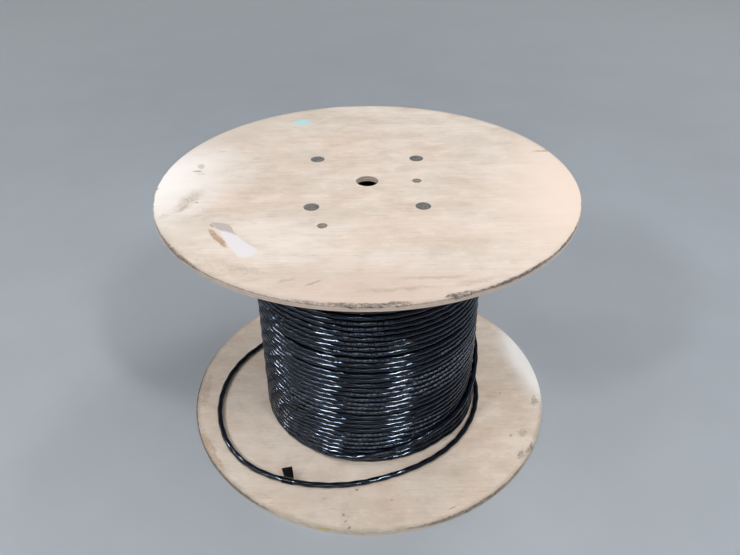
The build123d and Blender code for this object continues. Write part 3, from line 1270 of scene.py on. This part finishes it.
@dataclass
class DrumBody:
    """The drum's own pieces, which keep their shape and get their finishes."""

    radius: float
    thickness: float
    upper_bottom: float

    def top_marks(self) -> Tuple[MarkAndPaintedLight, ...]:
        """List what shows on the upper flange: stains, dirt and scuffs, and broad patches of painted light
        and painted shade.
        """
        return (
            # Painted light: a near-white patch on the far left of the face, where the light falls brightest.
            Mark((-0.385, 0.000), (0.190, 0.290), -12, PAINTED_LIGHT_WOOD, 0.95, 0.9, edge=0.15),
            # Painted shade: a broad, slightly darker patch at the back left of the face, where less light
            # falls.
            Mark((-0.285, 0.265), (0.300, 0.165), 48, paint("d4c4b6"), 0.65, 0.9, edge=0.10),
            # Painted light: a broad pale patch on the right of the face, where the light falls brighter.
            Mark((0.385, -0.040), (0.235, 0.400), -16, paint("f0dbcb"), 0.92, 0.9, edge=0.20),
            # Painted shade: a broad darker band along the front of the face, where less light falls.
            Mark((0.020, -0.345), (0.360, 0.120), 0, paint("cdb5a5"), 0.65, 0.9, edge=0.10),
            Mark((-0.292, -0.065), (0.060, 0.020), 71, paint("ad9c8b"), 0.75, 0.9, 0.6, 0.05),
            Mark((-0.224, -0.183), (0.038, 0.0066), -57, paint("a98464"), 0.85, 0.35, 0.35, 0.6),
            Mark((-0.239, -0.146), (0.012, 0.0022), -50, paint("8f6f54"), 0.60, 0.6),
            Mark((-0.130, 0.266), (0.024, 0.017), 20, paint("a9dfe4"), 0.85, 0.4),
            Mark((-0.298, 0.044), (0.011, 0.0038), -4, paint("5d4a3c"), 0.65, 0.5),
            Mark((-0.296, 0.062), (0.008, 0.0130), 20, paint("b3a394"), 0.55, 0.8),
            Mark((-0.291, 0.033), (0.013, 0.0045), -20, paint("ddc0aa"), 0.60, 0.8),
            Mark((-0.268, 0.1275), (0.011, 0.0040), 5, paint("b5a899"), 0.45, 0.8),
            Mark((-0.2765, -0.0717), (0.0045, 0.0030), 0, GREY_DIRT, 0.55, 0.5),
            Mark((-0.2945, -0.0877), (0.019, 0.0050), 60, paint("a59a8c"), 0.50, 0.8),
            RimMark(0.3540, -176.6, 0.004, 0.0028, GREY_DIRT, 0.70, 0.4, 0.003),
            Mark((-0.318, -0.112), (0.020, 0.008), 60, paint("a59684"), 0.35, 1.0, 0.9),
            Mark((-0.262, -0.110), (0.026, 0.006), 38, paint("a99b8a"), 0.35, 1.0, 0.9),
            Mark((-0.245, -0.120), (0.026, 0.010), 30, paint("b0a08e"), 0.40, 1.0, 0.9),
            Mark((-0.170, -0.268), (0.050, 0.012), -20, paint("9e8d7c"), 0.35, 1.0, 0.9),
            Mark((0.040, -0.318), (0.080, 0.006), 4, paint("9e8d7c"), 0.40, 1.0, 0.9),
            Mark((0.150, -0.300), (0.040, 0.010), 20, paint("a39180"), 0.40, 1.0, 0.9),
            Mark((-0.215, -0.255), (0.070, 0.030), -38, paint("b3a08c"), 0.35, 1.0, 0.7),
            Mark((0.332, 0.118), (0.034, 0.0060), 4, OLD_STAIN, 0.70, 0.6),
            Mark((-0.074, -0.302), (0.016, 0.0030), 32, paint("8f8072"), 0.50, 0.8),
            Mark((-0.112, -0.296), (0.020, 0.0060), 28, paint("a39282"), 0.35, 1.0),
            Mark((0.090, -0.292), (0.060, 0.006), 3, paint("b09a84"), 0.45, 0.9),
            RimMark(0.3555, -95, 0.330, 0.0016, paint("7d7268"), 0.60, 0.15, 0.0035, 0.9),
            RimMark(0.3555, -160, 0.240, 0.0022, paint("6a5e52"), 0.75, 0.20, 0.0065, 0.7),
            RimMark(0.3555, -35, 0.200, 0.0020, paint("564d44"), 0.70, 0.20, 0.0060, 0.8),
            RimMark(0.3530, -92, 0.060, 0.0065, GREY_DIRT, 0.80, 0.45, 0.0050),
            RimMark(0.3530, -84, 0.022, 0.0075, GREY_DIRT, 0.70, 0.45, 0.0050),
            RimMark(0.3540, -103, 0.034, 0.0040, GREY_DIRT, 0.55, 0.45, 0.0045),
            RimMark(0.3530, -70, 0.028, 0.0075, GREY_DIRT, 0.85, 0.45, 0.0055),
            RimMark(0.3550, -56, 0.090, 0.0028, GREY_DIRT, 0.80, 0.25, 0.0050, 0.6),
            RimMark(0.3552, -33, 0.060, 0.0022, GREY_DIRT, 0.60, 0.25, 0.0060, 0.6),
            RimMark(0.3548, -141, 0.070, 0.0034, paint("5d5248"), 0.75, 0.3, 0.0075),
        )

    def bottom_marks(self) -> Tuple[MarkAndPaintedLight, ...]:
        """List what shows on the lower flange: stains, knots and dirt, a patch of painted light, and painted
        shade along the left rim.
        """
        return (
            RimMark(0.3556, -102.9, 0.017, 0.0016, paint("c2b461"), 0.90, 0.2, 0.0070, 0.3),
            # Painted light: a near-white patch on the right of the lower flange, where light reaches past
            # the upper flange.
            Mark((0.356, 0.070), (0.210, 0.068), 101, paint("fffaf5"), 1.0, 0.6, edge=0.35),
            RimMark(0.3420, -9, 0.016, 0.0090, paint("9c8976"), 0.75, 0.8, worn=0.9),
            RimMark(0.3265, -25.5, 0.014, 0.0080, paint("a08f7d"), 0.65, 0.9),
            RimMark(0.3090, -28, 0.005, 0.0040, paint("a08f7d"), 0.70, 0.5, worn=0.3),
            RimMark(0.3420, -34.5, 0.014, 0.0065, paint("7d7064"), 0.85, 0.8),
            RimMark(0.3500, -30.5, 0.018, 0.0050, paint("6f6357"), 0.85, 0.7),
            RimMark(0.3400, -65, 0.012, 0.0014, CRACK_BROWN, 0.80, 0.4),
            RimMark(0.3480, -150, 0.070, 0.0090, paint("a58663"), 0.55, 0.7),
            RimMark(0.3400, -178, 0.060, 0.0100, paint("a08a70"), 0.40, 0.8),
            Mark((-0.0245, -0.2706), (0.0042, 0.0034), 0, KNOT_BROWN, 0.70, 0.5),
            Mark((-0.0811, -0.2870), (0.0030, 0.0024), 0, KNOT_BROWN, 0.45, 0.5),
            Mark((-0.0467, -0.3201), (0.0026, 0.0040), 20, KNOT_BROWN, 0.60, 0.5),
            Mark((-0.0430, -0.3348), (0.0040, 0.0032), 0, KNOT_BROWN, 0.50, 0.5),
            Mark((-0.0343, -0.3481), (0.0050, 0.0030), 20, GREY_DIRT, 0.60, 0.5),
            Mark((0.0375, -0.2908), (0.0030, 0.0024), 0, KNOT_BROWN, 0.40, 0.5),
            Mark((-0.0418, -0.3219), (0.0150, 0.0420), 10, paint("a8927c"), 0.35, 0.9, 0.8, 0.1),
            Mark((0.270, -0.030), (0.0040, 0.0026), 0, GREY_DIRT, 0.50, 0.5),
            # Painted shade with some dirt: dark bands down the left rim, where the gap under the flange's
            # edge lies in shade.
            RimMark(0.3556, -178, 0.200, 0.0024, paint("332c26"), 0.90, 0.15, 0.0120, 0.25),
            RimMark(0.3556, -140, 0.170, 0.0022, paint("40372f"), 0.80, 0.2, 0.0100, 0.5),
            RimMark(0.3552, -58, 0.170, 0.0026, GREY_DIRT, 0.80, 0.25, 0.0090, 0.6),
            RimMark(0.3556, -96, 0.170, 0.0010, paint("6d655d"), 0.50, 0.25, 0.0020, 0.6),
        )

    def build(self) -> None:
        """Dress the flanges, the core tube, the rods and the nuts."""
        upper = Plywood("plywood_upper", paint("e5d8cd"), paint("d3c5b6"), self.upper_bottom, self.thickness,
                        self.radius, self.top_marks())
        lower = Plywood("plywood_lower", paint("e4d6c8"), paint("d8c7b6"), 0.0, self.thickness, self.radius,
                        self.bottom_marks(), 0.50, paint("c6b5a1"), paint("e2d4c3"))
        pale, deep = paint("8b8c8a"), paint("6d6d69")
        zinc = PlainFinish("zinc_plate", pale, deep, 260, (0.62, 0.78), 0.04 * MM, metal=1.0)
        pale, deep = paint("8a6b4c"), paint("735740")
        fibre = PlainFinish("fibre_tube", pale, deep, 60, (0.75, 0.90), 0.20 * MM, 15.0)
        self.dress(upper.material(), "flange_top")
        self.dress(lower.material(), "flange_bottom")
        self.dress(fibre.material(), "core_tube")
        steel = zinc.material()
        for number in range(1, 5):
            self.dress(steel, f"tie_rod_{number}", f"tee_nut_top_{number}", f"tee_nut_bottom_{number}")

    @staticmethod
    def dress(material: Material, *nodes: str) -> None:
        """Give nodes of the frame a material."""
        for node in nodes:
            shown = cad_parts[node]
            shown.data.materials.clear()
            shown.data.materials.append(material)
            LOG.info("%s: dressed in %s", node, material.name)


@dataclass(frozen=True)
class Viewpoint:
    """The photograph's viewpoint: place, pitch, yaw, roll and focal length in its own pixels."""

    distance: float = 1.0574
    height: float = 1.0135
    pitch: float = 0.6049
    yaw: float = 0.00339
    roll: float = -0.00776
    focal_pixels: float = 684.8
    width_pixels: float = 740.0

    def build(self) -> None:
        """Make the camera."""
        level = Vector((math.cos(self.yaw), -math.sin(self.yaw), 0))
        ahead = Vector((math.sin(self.yaw), math.cos(self.yaw), 0))
        forward = ahead * math.cos(self.pitch) - Vector((0, 0, math.sin(self.pitch)))
        above = level.cross(forward)
        right = math.cos(self.roll) * level + math.sin(self.roll) * above
        up = -math.sin(self.roll) * level + math.cos(self.roll) * above
        lens = bpy.data.cameras.new("viewpoint")
        lens.sensor_width = 36.0
        lens.lens = lens.sensor_width * self.focal_pixels / self.width_pixels
        lens.clip_start = 0.05
        camera = bpy.data.objects.new("viewpoint", lens)
        axes = Matrix((right, up, -forward)).transposed().to_4x4()
        camera.matrix_world = Matrix.Translation((0, -self.distance, self.height)) @ axes
        bpy.context.scene.collection.objects.link(camera)
        bpy.context.scene.camera = camera


class Share(Enum):
    """What a lamp adds: light and highlights, soft fill alone, or highlights alone."""

    WHOLE = (True, True)
    FILL = (True, False)
    HIGHLIGHT = (False, True)


@dataclass(frozen=True)
class SoftLight:
    """Flat rectangular lamp that faces the drum."""

    name: str
    azimuth: float
    elevation: float
    distance: float
    wide: float
    tall: float
    power: float
    share: Share = Share.WHOLE
    aim_height: float = 0.25

    def build(self) -> None:
        """Hang the lamp."""
        lamp = bpy.data.lights.new(self.name, "AREA")
        lamp.shape = "RECTANGLE"
        lamp.size = self.wide
        lamp.size_y = self.tall
        lamp.energy = self.power
        elevation = math.radians(self.elevation)
        aim = Vector((0, 0, self.aim_height))
        height = self.distance * math.sin(elevation)
        away = around_axis(self.distance * math.cos(elevation), self.azimuth, height)
        hung = bpy.data.objects.new(self.name, lamp)
        hung.location = aim + away
        hung.rotation_mode = "QUATERNION"
        hung.rotation_quaternion = away.to_track_quat("Z", "Y")
        hung.visible_diffuse, hung.visible_glossy = self.share.value
        bpy.context.scene.collection.objects.link(hung)


@dataclass(frozen=True)
class Studio:
    """Plain pale floor, plain soft sky that is pale at the horizon, and soft lamps."""

    floor_half: float = 12.0
    floor_colour: Colour = paint("aaafb5")
    far_colour: Colour = paint("f6f8fa")
    floor_fade: Point2 = (1.2, 5.0)
    mottle: float = 0.94
    sky_colour: Colour = (0.84, 0.92, 1.0, 1.0)
    sky_horizon: float = 0.42
    sky_dim: float = 0.13
    sky_zenith: float = 0.30

    def build(self) -> None:
        """Lay the floor, set the world and hang the lamps."""
        half = self.floor_half
        mesh = bpy.data.meshes.new("studio_floor")
        corners = [(-half, -half, 0), (half, -half, 0), (half, half, 0), (-half, half, 0)]
        mesh.from_pydata(corners, [], [(0, 1, 2, 3)])
        sheet = ShaderSheet("studio_floor", Specular_IOR_Level=0.3)
        tint = sheet.cloud(sheet.place, 3.0, 4.0, 0.6)
        dim = tuple(part * self.mottle for part in self.floor_colour[:3]) + (1.0,)
        colour = sheet.blended(sheet.eased(tint, 0.3, 0.7), self.floor_colour, dim)
        far = sheet.eased(sheet.vector_math("LENGTH", sheet.place), *self.floor_fade)
        colour = sheet.blended(far, colour, self.far_colour)
        floor = placed("studio_floor", mesh, sheet.finish(colour, 0.7, tint, 0.2 * MM))
        self.sky()
        for lamp in (
            SoftLight("lamp_left", -133, 42, 3.4, 0.22, 0.50, 26),
            SoftLight("lamp_right", -57, 50, 3.4, 0.24, 0.52, 32),
            SoftLight("lamp_back_left", 162, 42, 3.6, 0.20, 0.40, 11),
            SoftLight("lamp_side", -165, 40, 3.4, 2.20, 0.16, 18, Share.FILL),
            SoftLight("lamp_front", -95, 26, 3.6, 1.20, 0.16, 13, Share.FILL),
            SoftLight("lamp_right_wide", -15, 38, 3.6, 1.60, 1.00, 17, Share.FILL),
            SoftLight("lamp_far_right", 40, 58, 3.6, 0.90, 0.70, 32, Share.FILL),
            SoftLight("lamp_above", -8, 76, 3.2, 0.90, 0.90, 4, Share.FILL),
            SoftLight("strip_left", -133, 42, 3.3, 0.60, 0.45, 80, Share.HIGHLIGHT),
            SoftLight("strip_right", -57, 50, 3.3, 0.60, 0.45, 76, Share.HIGHLIGHT),
            SoftLight("strip_back_left", 162, 42, 3.5, 0.45, 0.45, 46, Share.HIGHLIGHT),
            SoftLight("strip_side", -150, 22, 3.3, 2.60, 0.14, 21, Share.HIGHLIGHT),
            SoftLight("strip_front", -95, 26, 3.5, 1.20, 0.20, 19, Share.HIGHLIGHT),
        ):
            lamp.build()
        bpy.context.scene.view_settings.view_transform = "Standard"

    def sky(self) -> None:
        """Set a plain sky by height: pale at the horizon, dim above it, soft overhead."""
        world = bpy.data.worlds.new("studio_sky")
        world.use_nodes = True
        sheet = NodeSheet(world.node_tree)
        sheet.tree.nodes.clear()
        upward = sheet.parts(sheet.add("ShaderNodeTexCoord").outputs["Generated"])[2]
        horizon = sheet.eased(upward, 0.05, 0.45, self.sky_horizon, self.sky_dim)
        strength = sheet.plus(horizon, sheet.eased(upward, 0.75, 0.95, 0.0, self.sky_zenith))
        glow = sheet.add("ShaderNodeBackground", {"Color": self.sky_colour, "Strength": strength})
        sheet.add("ShaderNodeOutputWorld", {"Surface": glow.outputs[0]})
        bpy.context.scene.world = world


def main() -> None:
    """Build the viewpoint, the cable, the drum's finishes and the studio, in that order."""
    logging.basicConfig(level=logging.INFO, format="%(name)s: %(message)s")
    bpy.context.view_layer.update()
    Viewpoint().build()
    jacket = CableJacket("cable_jacket_black", paint("070913"), 0.012).material()
    black, worn = paint("050506"), paint("0a0a0b")
    tape = PlainFinish("tape_black", black, worn, 700, (0.24, 0.38), 0.06 * MM, specular=0.10)
    bright, dull = paint("c58a5c"), paint("8f5b39")
    copper = PlainFinish("copper_strand", bright, dull, 2500, (0.30, 0.45), 0.1 * MM, metal=1.0)
    insulation = tuple(
        PlainFinish(f"insulation_{word}", paint(code), paint(code), 400, (0.35, 0.50), 0.03 * MM).material()
        for word, code in (("black", "202022"), ("white", "d8d6cf"), ("green", "2f6b3f"))
    )
    paper = CreasedPaper("label_paper", paint("dfd8d9"), paint("b9ada7"), (-0.2164, -0.1641), (0.449, 0.894))
    cable = TwistedCable()
    LooseEnd(cable, jacket, tape.material(), copper.material(), insulation).build()
    low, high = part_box("cable_winding")
    core_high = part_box("core_tube")[1]
    CableWinding(cable, jacket, core_high[0], low[2], high[2]).build()
    flange_low, flange_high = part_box("flange_top")
    DrumBody(flange_high[0], flange_high[2] - flange_low[2], flange_low[2]).build()
    TornLabel(paper.material(), flange_high[2]).build()
    Studio().build()


if __name__ == "__main__":
    main()
